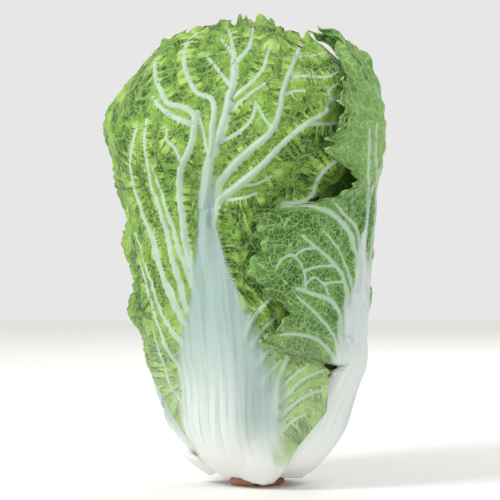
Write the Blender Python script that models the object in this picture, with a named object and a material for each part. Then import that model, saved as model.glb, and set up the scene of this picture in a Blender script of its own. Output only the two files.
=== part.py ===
# A head of napa cabbage standing on its trimmed stem.
# Every leaf is laid on a map of the head: an angle round it and a height up its side, both smooth.
# Leaves are laid from the heart outwards, each one just clear of whatever lies under it.
import math

import bmesh
import bpy
import numpy as np

MM = 0.001

# The heart's skin at stations up the head, in millimetres, and the slope in degrees along which
# the leaves lie out from it: down and out at the base, level at the belly, straight up at the crown.
STATION = (0, 19, 47, 91, 151, 205, 247, 276, 305, 334, 361, 383)
SKIN_RADIUS = (10, 25, 40, 52, 58.5, 60, 56, 42, 22, 10, 5, 0)
SKIN_HEIGHT = (19, 27, 43, 82, 139, 192, 226, 244, 255, 262, 266, 267)
LEAF_SLOPE = (-40, -34, -21, -9, -5, 0, 8, 29, 54, 72, 82, 90)
CROWN = 383

# The head leans a little to the left as it rises.
LEAN_HEIGHT = (0, 40, 80, 140, 190, 230, 260, 290, 320)
LEAN_SIDE = (0, 0, -3, -5.5, -6, -8, -8, -5, -4)
DEPTH_SHARE = 0.96
ROUND_WAVE = 0.018

# Cut stem.
STUMP_FACE_RADIUS = 17.5
STUMP_WIDEST = 19
STUMP_TOP = 15.5
STUMP_SIDES = 36

# Thickness of a blade, what it swells by at its foot, its ridges' height as a share of its frill's, and the
# gap between leaves.
BLADE = 1.1
FOOT_SWELL = 0.8
RIDGE_SHARE = 0.45
LEAF_GAP = 1.0

# A rib keeps its full width up to the first height and its last share of it from the second.
RIB_TAPER = (40, 190)
RIB_LAST_SHARE = 0.07
RIB_FLATTENS = (80, 300)
RIB_LAST_THICKNESS = 0.14

# Waves cut in a leaf's edges: degrees and length of those at its sides, height and count of those at its top.
SIDE_WAVES = ((3.0, 6.4), (2.3, 10.0))
TIP_WAVES = ((6.0, 5.1), (5.5, 13.0))
TIP_CORNER_DROP = 52
BROKEN_ROUNDING = 9
FRILL_LENGTH = 6.8

# The map of the head: size of its cells, how far a leaf keeps clear of a step under it, and how softly it bends.
MAP_TURN_STEP = 2.5
MAP_RISE_STEP = 4.0
CLEAR_REACH = 13.0
SOFTEN_REACH = 7.0
COLUMN_CROWDING = 1.25

# One row per leaf, from the innermost of the loose leaves outwards.
# turn: where its rib leaves the stem, degrees round from the front; foot, tip: start and end up the head.
# rib: half width in degrees and thickness in millimetres of the white rib at its foot.
# spread: half width of the blade in degrees at its widest; frill: height of the waves on its edge.
# curl, where one edge turns outwards: its side, how far it turns, and the heights between which it does.
INNER_LEAVES = (
    {"name": "inner_leaf_back", "turn": 170, "foot": 10, "tip": 362, "rib": (33, 5.0), "spread": 78,
     "frill": 1.6, "seed": 1, "grid": (10, 17)},
    {"name": "inner_leaf_left", "turn": -68, "foot": 9, "tip": 356, "rib": (33, 5.0), "spread": 76,
     "frill": 1.6, "seed": 2, "grid": (10, 17)},
    {"name": "inner_leaf_right", "turn": 62, "foot": 8, "tip": 346, "rib": (33, 5.0), "spread": 76,
     "frill": 2.0, "seed": 3, "grid": (10, 17)},
    {"name": "inner_leaf_back_left", "turn": -140, "foot": 7, "tip": 344, "rib": (34, 5.5), "spread": 76,
     "frill": 2.0, "seed": 4, "grid": (10, 17)},
    {"name": "inner_leaf_front", "turn": 4, "foot": 6, "tip": 346, "rib": (34, 5.5), "spread": 78,
     "frill": 2.2, "seed": 5, "grid": (12, 18)},
)
OUTER_LEAVES = (
    {"name": "outer_leaf_back", "turn": 172, "foot": 4, "tip": 338, "rib": (36, 6.5), "spread": 80,
     "frill": 3.6, "seed": 6, "grid": (12, 19)},
    {"name": "outer_leaf_back_right", "turn": 112, "foot": 3, "tip": 322, "rib": (35, 6.5), "spread": 74,
     "frill": 4.0, "seed": 7, "grid": (12, 19)},
    {"name": "outer_leaf_left", "turn": -104, "foot": 3, "tip": 318, "rib": (35, 6.5), "spread": 74,
     "frill": 5.0, "seed": 8, "grid": (12, 19)},
)

# The front leaf: line of its rib and its two side edges, degrees round from the front at each height.
FRONT_LEAF = {"name": "outer_leaf_front", "turn": -20, "foot": 2, "tip": 340, "rib": (36, 7.0),
              "frill": 3.8, "seed": 9, "grid": (20, 24)}
FRONT_RIB = ((2, -20), (47, -22), (88, -17), (140, -17), (203, -18.5), (231, -15), (249, -11), (270, -8), (340, -7))
FRONT_LEFT = ((2, -58), (29, -61), (50, -64), (90, -80), (150, -92), (205, -92), (250, -82), (340, -76))
FRONT_RIGHT = ((2, 22), (29, 24), (42, 27), (55, 34), (66, 43), (80, 43), (90, 40), (110, 34),
               (150, 30), (190, 24), (205, 30), (218, 42), (232, 51), (250, 58), (300, 60), (340, 62))

# The right leaf: below FLAP_FOOT its rib lies under the front leaf, above it its blade flaps over that leaf.
RIGHT_LEAF = {"name": "outer_leaf_right", "turn": 57, "foot": 2, "tip": 310, "rib": (34, 7.0),
              "frill": 4.2, "seed": 10, "grid": (18, 20), "curl": (-1, 6.0, 104, 205)}
RIGHT_RIB = ((2, 52), (40, 56), (90, 66), (140, 68), (190, 72), (240, 86), (310, 88))
RIGHT_LEFT = ((2, 18), (40, 22), (60, 32), (90, 46), (96, 46), (99, 30), (104, 17), (114, 10), (131, 14),
              (145, 4), (182, 3), (194, 5), (200, 16), (206, 31), (213, 39), (224, 40), (244, 34), (310, 30))
RIGHT_RIGHT = ((2, 86), (47, 94), (90, 108), (150, 120), (205, 120), (250, 116), (310, 108))
FLAP_FOOT = (90, 95)
FLAP_LIFT = 1.2
# Beside the front leaf, from the first angle to the second, the rib rises from its foot in one slow sweep.
RIB_BESIDE = (45, 51)
RIB_SWEEP = (60, 120)

# What is left of a leaf that was broken off: a short tongue of its rib, from the stem up.
STUB = {"name": "leaf_stub", "turn": -88, "foot": 4, "tip": 29, "rib": (10, 3.4), "frill": 0.0,
        "seed": 11, "grid": (6, 6)}
STUB_HALVES = (16, 9)
STUB_REACH = 3.0

HEART_LEAVES = 6
HEART_FIRST_TURN = 25
HEART_TURN_STEP = 137.5
HEART_FOOT = 150
HEART_TIP = 364
HEART_TIP_STEP = 4
HEART_LIFT = 12
HEART_CORE_DEPTH = 4
HEART_GRID = (7, 9)
HEART_RINGS = (26, 16)


def ease(x, low, high):
    """0 up to low, 1 from high, smooth between."""
    t = np.clip((x - low) / (high - low), 0, 1)
    return t * t * (3 - 2 * t)


def curve(x, xs, ys):
    """A smooth line through the points (xs, ys)."""
    xs = np.asarray(xs, float)
    ys = np.asarray(ys, float)
    slope = np.gradient(ys, xs)
    x = np.clip(x, xs[0], xs[-1])
    i = np.clip(np.searchsorted(xs, x) - 1, 0, len(xs) - 2)
    width = xs[i + 1] - xs[i]
    t = (x - xs[i]) / width
    return (
        (1 + 2 * t) * (1 - t) ** 2 * ys[i]
        + t * (1 - t) ** 2 * width * slope[i]
        + t * t * (3 - 2 * t) * ys[i + 1]
        + t * t * (t - 1) * width * slope[i + 1]
    )


def table(x, points):
    """A straight-edged line through points (x, y), for outlines with corners."""
    return np.interp(x, [p[0] for p in points], [p[1] for p in points])


def place(turn, rise, out):
    """Metres in space for an angle round the head, a height up it and a distance out from the heart."""
    slope = np.radians(curve(rise, STATION, LEAF_SLOPE))
    radius = curve(rise, STATION, SKIN_RADIUS) + out * np.cos(slope)
    height = curve(rise, STATION, SKIN_HEIGHT) + out * np.sin(slope)
    angle = np.radians(turn)
    grow = ease(height, 30, 120)
    radius = radius * (1 + grow * ROUND_WAVE * (np.sin(2 * angle + 0.7) + np.sin(3 * angle + 1.9)))
    side = radius * np.sin(angle) + curve(height, LEAN_HEIGHT, LEAN_SIDE)
    return np.stack([side, -radius * np.cos(angle) * DEPTH_SHARE, height], axis=-1) * MM


MAP_TURNS = np.arange(-180, 180, MAP_TURN_STEP)
MAP_RISES = np.arange(0, CROWN + MAP_RISE_STEP, MAP_RISE_STEP)
MAP_TURN, MAP_RISE = np.meshgrid(MAP_TURNS, MAP_RISES)


def spread_over(field, reach, combine):
    """The field with each cell combined with all that lie within reach of it, in millimetres."""
    rows = max(1, round(reach / MAP_RISE_STEP))
    padded = np.pad(field, ((rows, rows), (0, 0)), mode="edge")
    field = combine([padded[k : k + len(field)] for k in range(2 * rows + 1)])
    radius = np.maximum(curve(MAP_RISES, STATION, SKIN_RADIUS) + 15, 12)
    cells = np.minimum(np.ceil(np.degrees(reach / radius) / MAP_TURN_STEP).astype(int), 14)
    done = np.empty_like(field)
    for row, count in enumerate(cells):
        done[row] = combine([np.roll(field[row], k) for k in range(-count, count + 1)])
    return done


def highest(fields):
    return np.max(fields, axis=0)


def mean(fields):
    return np.mean(fields, axis=0)


def clear_of(cover, reach=CLEAR_REACH, soften=SOFTEN_REACH):
    """The lowest smooth surface that stays clear of everything laid so far."""
    lifted = spread_over(cover, reach, highest)
    return spread_over(lifted, soften, mean) + LEAF_GAP


def read_map(field, turn, rise):
    """The field's value between its cells."""
    x = (turn + 180) / MAP_TURN_STEP
    y = np.clip(rise / MAP_RISE_STEP, 0, len(MAP_RISES) - 1.001)
    i = np.floor(y).astype(int)
    j = np.floor(x).astype(int)
    fy = y - i
    fx = x - j
    j = j % len(MAP_TURNS)
    k = (j + 1) % len(MAP_TURNS)
    return (
        (1 - fy) * ((1 - fx) * field[i, j] + fx * field[i, k])
        + fy * ((1 - fx) * field[i + 1, j] + fx * field[i + 1, k])
    )


def usual_lines(leaf):
    """Rib line and side edges of a leaf that has none of its own: a fan, widest above its middle."""
    turn = leaf["turn"]
    foot = leaf["foot"]
    tip = leaf["tip"]
    rib = leaf["rib"][0]
    full = leaf["spread"]
    rises = (foot, foot + 50, foot + 110, foot + 190, tip - 60, tip)
    halves = (rib, rib + 4, 0.74 * full, 0.93 * full, full, 0.96 * full)
    sway = 5 * math.sin(2.4 * leaf["seed"])
    middle = [(h, turn + sway * ease(h, 60, 260)) for h in rises]
    left = [(h, m[1] - w) for h, m, w in zip(rises, middle, halves)]
    right = [(h, m[1] + w) for h, m, w in zip(rises, middle, halves)]
    return middle, left, right


def make_shape(leaf, lines):
    """Everything about one leaf that depends on where on the head a point is."""
    middle, left, right = lines
    tip = leaf["tip"]
    seed = leaf["seed"]
    rib_half, rib_thick = leaf["rib"]

    def mid_line(rise):
        return curve(rise, [p[0] for p in middle], [p[1] for p in middle])

    def edge(rise, side):
        (short, short_length), (long, long_length) = SIDE_WAVES
        wave = short * np.sin(rise / short_length + 2.1 * seed) + long * np.sin(rise / long_length + seed + side)
        wave = wave * ease(rise, 60, 120) * ease(leaf["frill"], 0, 4)
        return np.where(side > 0, table(rise, right), table(rise, left)) + side * wave

    def top(across):
        (broad, few), (fine, many) = TIP_WAVES
        round_off = TIP_CORNER_DROP * np.abs(across) ** 2.6 + broad * np.sin(few * across + seed)
        round_off = round_off + fine * np.sin(many * across + 2 * seed)
        return tip - round_off * ease(leaf["frill"], 0, 3) - (leaf["frill"] == 0) * BROKEN_ROUNDING * across**2

    def to_turn(across, rise):
        side = np.where(across < 0, -1, 1)
        line = mid_line(rise)
        reach = edge(rise, side) - line
        return line + reach * np.abs(across) ** COLUMN_CROWDING

    def to_across(turn, rise):
        line = mid_line(rise)
        off = (turn - line + 180) % 360 - 180
        side = np.where(off < 0, -1, 1)
        share = np.abs(off) / np.maximum(np.abs(edge(rise, side) - line), 1)
        return side * share ** (1 / COLUMN_CROWDING), off

    def thickness(across, off, rise):
        half = rib_half * (1 - (1 - RIB_LAST_SHARE) * ease(rise, *RIB_TAPER)) + 5
        rib = (rib_thick - BLADE) * (1 - (1 - RIB_LAST_THICKNESS) * ease(rise, *RIB_FLATTENS))
        bulge = np.clip(1 - (off / half) ** 2, 0, 1) ** 0.8
        fan = np.cos(np.pi * across * leaf["grid"][0] / 4) ** 2
        fan = fan * ease(rise, 50, 130) * (1 - ease(np.abs(across), 0.75, 1))
        fan = fan * ease(np.abs(edge(rise, np.sign(across)) - mid_line(rise)), 20, 50)
        return BLADE + rib * bulge + FOOT_SWELL * (1 - ease(rise, 20, 120)) + RIDGE_SHARE * leaf["frill"] * fan

    def lift(across, rise, off):
        """Folds fanning up the blade and waves along its free edges, all outwards."""
        near_edge = ease(np.abs(across), 0.62, 1.0)
        near_tip = ease(rise, tip - 60, tip)
        fold = (0.5 + 0.5 * np.cos(np.radians(off) * 9 + seed)) * ease(rise, 130, 260)
        along = 0.5 + 0.5 * np.sin(rise / FRILL_LENGTH + 1.7 * seed + 2.0 * across)
        round_tip = 0.5 + 0.5 * np.sin(np.radians(off) * 13 + 0.9 * seed)
        frill = leaf["frill"] * ease(rise, 70, 130)
        lifted = frill * (near_edge * along + 0.9 * near_tip * round_tip)
        lifted = lifted + 0.5 * leaf["frill"] * fold * (1 - near_edge)
        if "curl" in leaf:
            side, height, low, high = leaf["curl"]
            turned = ease(rise, low, low + 20) * (1 - ease(rise, high, high + 20))
            lifted = lifted + height * turned * ease(side * across, 0.72, 1)
        return lifted

    return top, to_turn, to_across, thickness, lift


def leaf_rows(leaf, lines, top_count):
    """Heights of the grid's rows: even ones, and one at each corner of its outline."""
    even = np.linspace(leaf["foot"], leaf["tip"], top_count + 1)
    corners = [p[0] for line in lines[1:] for p in line[1:-1]]
    rows = [leaf["foot"], leaf["tip"]]
    for rise in sorted(corners) + sorted(even):
        wanted = 2.5 if rise in corners else 6.5
        if min(abs(rise - r) for r in rows) > wanted:
            rows.append(rise)
    return np.array(sorted(rows))


def leaf_mesh(name, grid, rows, shape, rest_on):
    """A closed blade: a sheet split into triangles, thickened, then laid on the head."""
    top, to_turn, to_across, thickness, lift = shape
    columns = grid[0]
    bm = bmesh.new()
    bmesh.ops.create_grid(bm, x_segments=columns, y_segments=len(rows) - 1, size=1)
    bmesh.ops.triangulate(bm, faces=bm.faces[:], quad_method="FIXED")
    made = bmesh.ops.extrude_face_region(bm, geom=bm.faces[:], use_keep_orig=True)
    outer = [v for v in made["geom"] if isinstance(v, bmesh.types.BMVert)]
    bmesh.ops.translate(bm, verts=outer, vec=(0, 0, 1))
    spots = np.array([v.co[:] for v in bm.verts])
    across = spots[:, 0]
    row = np.clip(np.round((spots[:, 1] + 1) / 2 * (len(rows) - 1)).astype(int), 0, len(rows) - 1)
    rise = rows[row]
    bend_from = rows[-1] - 80 if rows[-1] > 200 else rows[0]
    share = np.clip((rise - bend_from) / (rows[-1] - bend_from), 0, 1)
    rise = np.where(share > 0, bend_from + share * (top(across) - bend_from), rise)
    turn = to_turn(across, rise)
    _, off = to_across((turn + 180) % 360 - 180, rise)
    turn = (turn + 180) % 360 - 180
    out = rest_on(turn, rise) + lift(across, rise, off) + spots[:, 2] * thickness(across, off, rise)
    for vert, spot in zip(bm.verts, place(turn, rise, out)):
        vert.co = spot
    bmesh.ops.recalc_face_normals(bm, faces=bm.faces[:])
    mesh = bpy.data.meshes.new(name)
    bm.to_mesh(mesh)
    bm.free()
    return mesh


def laid(shape, rest_field, cover, leaf, below=CROWN):
    """The cover once this leaf lies on it, up to the height below."""
    top, _, to_across, thickness, lift = shape
    across, off = to_across(MAP_TURN, MAP_RISE)
    inside = (np.abs(across) <= 1) & (MAP_RISE >= leaf["foot"] - 2) & (MAP_RISE <= top(across) + 2)
    inside = inside & (MAP_RISE < below)
    out = rest_field + lift(across, MAP_RISE, off) + thickness(across, off, MAP_RISE)
    return np.where(inside, np.maximum(cover, out), cover)


def add_object(name, mesh, colour, roughness):
    obj = bpy.data.objects.new(name, mesh)
    bpy.context.scene.collection.objects.link(obj)
    material = bpy.data.materials.new(name + "_surface")
    material.use_nodes = True
    shader = material.node_tree.nodes["Principled BSDF"]
    shader.inputs["Base Color"].default_value = (*colour, 1)
    shader.inputs["Roughness"].default_value = roughness
    shader.inputs["Metallic"].default_value = 0
    mesh.materials.append(material)
    for polygon in mesh.polygons:
        polygon.use_smooth = True
    return obj


def add_leaf(leaf, lines, cover, colour, reach=CLEAR_REACH):
    shape = make_shape(leaf, lines)
    field = clear_of(cover, reach, min(reach, SOFTEN_REACH))
    rows = leaf_rows(leaf, lines, leaf["grid"][1])

    def rest_on(turn, rise):
        return read_map(field, turn, rise)

    mesh = leaf_mesh(leaf["name"], leaf["grid"], rows, shape, rest_on)
    add_object(leaf["name"], mesh, colour, 0.5)
    return laid(shape, field, cover, leaf)


def add_stump():
    """The cut stem: a short plug with a flat face below, its edge worn round."""
    bm = bmesh.new()
    outline = ((0, 0), (STUMP_FACE_RADIUS, 0), (STUMP_WIDEST, 1.6), (STUMP_WIDEST - 3, 5.5),
               (9, STUMP_TOP - 0.5), (0, STUMP_TOP))
    verts = [bm.verts.new((r * MM, 0, z * MM)) for r, z in outline]
    edges = [bm.edges.new(pair) for pair in zip(verts, verts[1:])]
    bmesh.ops.spin(bm, geom=verts + edges, cent=(0, 0, 0), axis=(0, 0, 1), angle=math.tau,
                   steps=STUMP_SIDES, use_merge=True)
    bmesh.ops.remove_doubles(bm, verts=bm.verts[:], dist=1e-6)
    bmesh.ops.recalc_face_normals(bm, faces=bm.faces[:])
    mesh = bpy.data.meshes.new("stump")
    bm.to_mesh(mesh)
    bm.free()
    add_object("stump", mesh, (0.62, 0.52, 0.38), 0.7)


def heart_core():
    bm = bmesh.new()
    bmesh.ops.create_uvsphere(bm, u_segments=HEART_RINGS[0], v_segments=HEART_RINGS[1], radius=1)
    spots = np.array([v.co[:] for v in bm.verts])
    level = np.degrees(np.arcsin(np.clip(spots[:, 2], -1, 1))) / 180 + 0.5
    turn = np.degrees(np.arctan2(spots[:, 0], -spots[:, 1]))
    rise = CROWN * (level - 0.03) / 0.97
    at_foot = rise < 0
    placed = place(turn, np.maximum(rise, 0), -HEART_CORE_DEPTH * ease(rise, 10, 60))
    placed[at_foot] = (0, 0, SKIN_HEIGHT[0] * MM)
    for vert, spot in zip(bm.verts, placed):
        vert.co = spot
    bmesh.ops.recalc_face_normals(bm, faces=bm.faces[:])
    mesh = bpy.data.meshes.new("heart")
    bm.to_mesh(mesh)
    bm.free()
    return add_object("heart", mesh, (0.68, 0.70, 0.30), 0.5)


def add_heart():
    """The tight inner leaves: their blades stand out of a smaller core, all one piece."""
    core = heart_core()
    blades = bpy.data.collections.new("heart_blades")
    bpy.context.scene.collection.children.link(blades)
    cover = np.full_like(MAP_TURN, -float(HEART_CORE_DEPTH))
    for number in range(HEART_LEAVES):
        turn = HEART_FIRST_TURN + HEART_TURN_STEP * number
        leaf = {"turn": (turn + 180) % 360 - 180, "foot": HEART_FOOT, "rib": (30, 1.6), "spread": 66,
                "tip": HEART_TIP - HEART_TIP_STEP * number, "frill": 2.5, "seed": 20 + number, "grid": HEART_GRID}
        shape = list(make_shape(leaf, usual_lines(leaf)))
        field = clear_of(cover)
        plain_lift = shape[4]

        def heart_lift(across, rise, off, plain_lift=plain_lift):
            rooted = 3.4 * (1 - ease(rise, HEART_FOOT + 25, HEART_FOOT + 70))
            raised = HEART_LIFT * ease(rise, 285, 350)
            return plain_lift(across, rise, off) * ease(rise, 230, 300) - rooted + raised / (1 + number)

        def rest_on(turn, rise, field=field):
            return read_map(field, turn, rise)

        shape[4] = heart_lift
        rows = np.linspace(leaf["foot"], leaf["tip"], HEART_GRID[1] + 1)
        mesh = leaf_mesh("heart_blade", HEART_GRID, rows, shape, rest_on)
        blades.objects.link(bpy.data.objects.new("heart_blade", mesh))
        cover = laid(shape, field, cover, leaf)
    union = core.modifiers.new("union", "BOOLEAN")
    union.operation = "UNION"
    union.solver = "MANIFOLD"
    union.operand_type = "COLLECTION"
    union.collection = blades
    with bpy.context.temp_override(object=core):
        bpy.ops.object.modifier_apply(modifier=union.name)
    for obj in list(blades.objects):
        bpy.data.objects.remove(obj)
    bpy.data.collections.remove(blades)
    return np.maximum(cover, 0)


def add_right_and_front(cover):
    """The front leaf lies over the foot of the right leaf and under that leaf's flap."""
    green = (0.27, 0.47, 0.14)
    right_lines = (RIGHT_RIB, RIGHT_LEFT, RIGHT_RIGHT)
    front_lines = (FRONT_RIB, FRONT_LEFT, FRONT_RIGHT)
    right_shape = make_shape(RIGHT_LEAF, right_lines)
    low_field = clear_of(cover)
    with_foot = laid(right_shape, low_field, cover, RIGHT_LEAF, below=FLAP_FOOT[0])
    with_front = add_leaf(FRONT_LEAF, front_lines, with_foot, green)
    high_field = clear_of(with_front) + FLAP_LIFT

    def rest_on(turn, rise):
        beside = ease(turn, *RIB_BESIDE)
        flap = ease(rise, *FLAP_FOOT) * (1 - beside) + ease(rise, *RIB_SWEEP) * beside
        return read_map(low_field, turn, rise) * (1 - flap) + read_map(high_field, turn, rise) * flap

    rows = leaf_rows(RIGHT_LEAF, right_lines, RIGHT_LEAF["grid"][1])
    mesh = leaf_mesh(RIGHT_LEAF["name"], RIGHT_LEAF["grid"], rows, right_shape, rest_on)
    add_object(RIGHT_LEAF["name"], mesh, (0.20, 0.40, 0.11), 0.5)
    return laid(right_shape, high_field, with_front, RIGHT_LEAF)


def main():
    for obj in list(bpy.data.objects):
        bpy.data.objects.remove(obj)
    add_stump()
    cover = add_heart()
    for leaf in INNER_LEAVES:
        cover = add_leaf(leaf, usual_lines(leaf), cover, (0.45, 0.58, 0.20))
    for leaf in OUTER_LEAVES:
        cover = add_leaf(leaf, usual_lines(leaf), cover, (0.30, 0.50, 0.16))
    cover = add_right_and_front(cover)
    turn = STUB["turn"]
    rises = (STUB["foot"], STUB["tip"])
    stub_lines = (
        [(rise, turn) for rise in rises],
        [(rise, turn - half) for rise, half in zip(rises, STUB_HALVES)],
        [(rise, turn + half) for rise, half in zip(rises, STUB_HALVES)],
    )
    add_leaf(STUB, stub_lines, cover, (0.75, 0.74, 0.66), reach=STUB_REACH)


main()
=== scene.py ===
# Dresses a head of napa cabbage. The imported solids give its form, and finer leaves stand for them.
# Each leaf is laid on the same map of the head as its solid: an angle round it and a height up it.
import math

import bmesh
import bpy
import numpy as np
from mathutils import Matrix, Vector, kdtree


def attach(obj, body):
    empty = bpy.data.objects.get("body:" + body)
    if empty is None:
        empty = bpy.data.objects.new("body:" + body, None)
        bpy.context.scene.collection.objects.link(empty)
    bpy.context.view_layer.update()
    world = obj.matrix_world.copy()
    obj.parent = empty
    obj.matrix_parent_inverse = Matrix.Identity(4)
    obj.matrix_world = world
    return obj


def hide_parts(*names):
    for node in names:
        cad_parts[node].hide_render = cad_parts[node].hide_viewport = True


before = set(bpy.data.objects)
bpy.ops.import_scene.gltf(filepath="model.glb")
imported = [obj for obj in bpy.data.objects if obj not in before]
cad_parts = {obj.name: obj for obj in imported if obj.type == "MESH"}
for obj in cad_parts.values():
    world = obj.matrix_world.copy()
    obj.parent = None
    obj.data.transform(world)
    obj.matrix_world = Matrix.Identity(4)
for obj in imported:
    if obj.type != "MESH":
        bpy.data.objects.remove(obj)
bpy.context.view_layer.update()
mm = 0.001
print("stage: packed model loaded")

# The head's form, in millimetres and degrees, at stations up its side.
head = {
    "station": (0, 19, 47, 91, 151, 205, 247, 276, 305, 334, 361, 383),
    "skinRadius": (10, 25, 40, 52, 58.5, 60, 56, 42, 22, 10, 5, 0),
    "skinHeight": (19, 27, 43, 82, 139, 192, 226, 244, 255, 262, 266, 267),
    "leafSlope": (-40, -34, -21, -9, -5, 0, 8, 29, 54, 72, 82, 90),
    "crown": 383,
    "leanHeight": (0, 40, 80, 140, 190, 230, 260, 290, 320),
    "leanSide": (0, 0, -3, -5.5, -6, -8, -8, -5, -4),
    "depthShare": 0.96,
    "roundWave": 0.018,
}

# How leaves lie on each other. blade, gap, footThick: thicknesses in millimetres; turnStep, riseStep: cells
# of the map; clearReach, softenReach: how far a leaf bridges what lies under it; crowding: how much closer
# columns are at the rib; ribTaper, ribThinning: how much, and between which heights; waves: height, length.
lay = {
    "blade": 1.1,
    "gap": 1.0,
    "turnStep": 2.5,
    "riseStep": 4.0,
    "clearReach": 13.0,
    "softenReach": 7.0,
    "crowding": 1.25,
    "ridgeShare": 0.45,
    "sideWaves": ((3.0, 6.4), (2.3, 10.0)),
    "tipWaves": ((6.0, 5.1), (5.5, 13.0)),
    "cornerDrop": 52,
    "hideReach": 5,
    "ribTaper": (0.93, 40, 190),
    "ribLeast": 1.5,
    "ribThinning": (0.86, 80, 300),
    "footThick": 0.8,
    "calmRidges": 0.35,
    "frillFrom": (70, 130),
    "foldFrom": (130, 260),
    "planeOut": 22,
}


def ease(x, low, high):
    t = np.clip((x - low) / (high - low), 0, 1)
    return t * t * (3 - 2 * t)


# a smooth line through the points (xs, ys)
def curveThrough(x, xs, ys):
    xs = np.asarray(xs, float)
    ys = np.asarray(ys, float)
    slope = np.gradient(ys, xs)
    x = np.clip(x, xs[0], xs[-1])
    i = np.clip(np.searchsorted(xs, x) - 1, 0, len(xs) - 2)
    width = xs[i + 1] - xs[i]
    t = (x - xs[i]) / width
    return (
        (1 + 2 * t) * (1 - t) ** 2 * ys[i]
        + t * (1 - t) ** 2 * width * slope[i]
        + t * t * (3 - 2 * t) * ys[i + 1]
        + t * t * (t - 1) * width * slope[i + 1]
    )


def wrapped(turn):
    return (turn + 180) % 360 - 180


def cornered(x, points):
    return np.interp(x, [p[0] for p in points], [p[1] for p in points])


def skinRadius(rise):
    return curveThrough(rise, head["station"], head["skinRadius"])


# metres in space for an angle round the head, a height up it and a distance out from the heart
def place(turn, rise, out):
    slope = np.radians(curveThrough(rise, head["station"], head["leafSlope"]))
    radius = skinRadius(rise) + out * np.cos(slope)
    height = curveThrough(rise, head["station"], head["skinHeight"]) + out * np.sin(slope)
    angle = np.radians(turn)
    grow = ease(height, 30, 120)
    radius = radius * (1 + grow * head["roundWave"] * (np.sin(2 * angle + 0.7) + np.sin(3 * angle + 1.9)))
    side = radius * np.sin(angle) + curveThrough(height, head["leanHeight"], head["leanSide"])
    return np.stack([side, -radius * np.cos(angle) * head["depthShare"], height], axis=-1) * mm


mapTurns = np.arange(-180, 180, lay["turnStep"])
mapRises = np.arange(0, head["crown"] + lay["riseStep"], lay["riseStep"])
mapTurn, mapRise = np.meshgrid(mapTurns, mapRises)


# the field with each cell combined with all that lie within reach of it
def spreadOver(field, reach, combine):
    rows = max(1, round(reach / lay["riseStep"]))
    padded = np.pad(field, ((rows, rows), (0, 0)), mode="edge")
    field = combine([padded[k : k + len(field)] for k in range(2 * rows + 1)])
    radius = np.maximum(skinRadius(mapRises) + 15, 12)
    cells = np.minimum(np.ceil(np.degrees(reach / radius) / lay["turnStep"]).astype(int), 14)
    done = np.empty_like(field)
    for row, count in enumerate(cells):
        done[row] = combine([np.roll(field[row], k) for k in range(-count, count + 1)])
    return done


def highest(fields):
    return np.max(fields, axis=0)


def mean(fields):
    return np.mean(fields, axis=0)


# the lowest smooth surface that stays clear of everything laid so far
def clearOf(cover, reach=lay["clearReach"], soften=lay["softenReach"]):
    return spreadOver(spreadOver(cover, reach, highest), soften, mean) + lay["gap"]


def readMap(field, turn, rise):
    x = (turn + 180) / lay["turnStep"]
    y = np.clip(rise / lay["riseStep"], 0, len(mapRises) - 1.001)
    i = np.floor(y).astype(int)
    j = np.floor(x).astype(int)
    fy = y - i
    fx = x - j
    j = j % len(mapTurns)
    k = (j + 1) % len(mapTurns)
    low = (1 - fx) * field[i, j] + fx * field[i, k]
    high = (1 - fx) * field[i + 1, j] + fx * field[i + 1, k]
    return (1 - fy) * low + fy * high


# rib line and side edges of a leaf that has none of its own: a fan, widest above its middle
def usualLines(leaf):
    turn, foot, tip, full = leaf["turn"], leaf["foot"], leaf["tip"], leaf["spread"]
    rib = leaf["rib"][0]
    rises = (foot, foot + 50, foot + 110, foot + 190, tip - 60, tip)
    halves = (rib, rib + 4, 0.74 * full, 0.93 * full, full, 0.96 * full)
    sway = 5 * math.sin(2.4 * leaf["seed"])
    middle = [(h, turn + sway * ease(h, 60, 260)) for h in rises]
    left = [(h, m[1] - w) for h, m, w in zip(rises, middle, halves)]
    right = [(h, m[1] + w) for h, m, w in zip(rises, middle, halves)]
    return middle, left, right


def linesOf(leaf):
    if "middle" in leaf:
        return leaf["middle"], leaf["left"], leaf["right"]
    if "halves" in leaf:
        ends = list(zip((leaf["foot"], leaf["tip"]), leaf["halves"]))
        return [[(rise, leaf["turn"] + side * half) for rise, half in ends] for side in (0, -1, 1)]
    return usualLines(leaf)


# smooth hills in the plane, for crumples: from seeded draws, in -1 to 1
def hills(x, y, size, seed, count=5):
    draw = np.random.default_rng(seed)
    total = np.zeros_like(x)
    for _ in range(count):
        angle, phase = draw.uniform(0, math.tau), draw.uniform(0, math.tau)
        stretch = draw.uniform(0.7, 1.4)
        wave = math.tau / (size * stretch)
        bend = 0.9 * np.sin((x * math.sin(angle) - y * math.cos(angle)) * wave * 0.6 + phase * 3)
        total += np.sin((x * math.cos(angle) + y * math.sin(angle)) * wave + phase + bend)
    return total / count


# distance to the nearest cell wall over the cell size: 0 on the wall, about 0.5 in the middle
def cells(x, y, size, seed):
    draw = np.random.default_rng(seed)
    jitter = draw.uniform(0.1, 0.9, (64, 64, 2))
    gx, gy = x / size, y / size
    ix, iy = np.floor(gx).astype(int), np.floor(gy).astype(int)
    near = np.full(x.shape, 9.0)
    second = np.full(x.shape, 9.0)
    for dx in (-1, 0, 1):
        for dy in (-1, 0, 1):
            cx, cy = ix + dx, iy + dy
            spot = jitter[cx % 64, cy % 64]
            gap = np.hypot(cx + spot[..., 0] - gx, cy + spot[..., 1] - gy)
            second = np.minimum(second, np.maximum(near, gap))
            near = np.minimum(near, gap)
    return np.clip(second - near, 0, 1)


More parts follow.
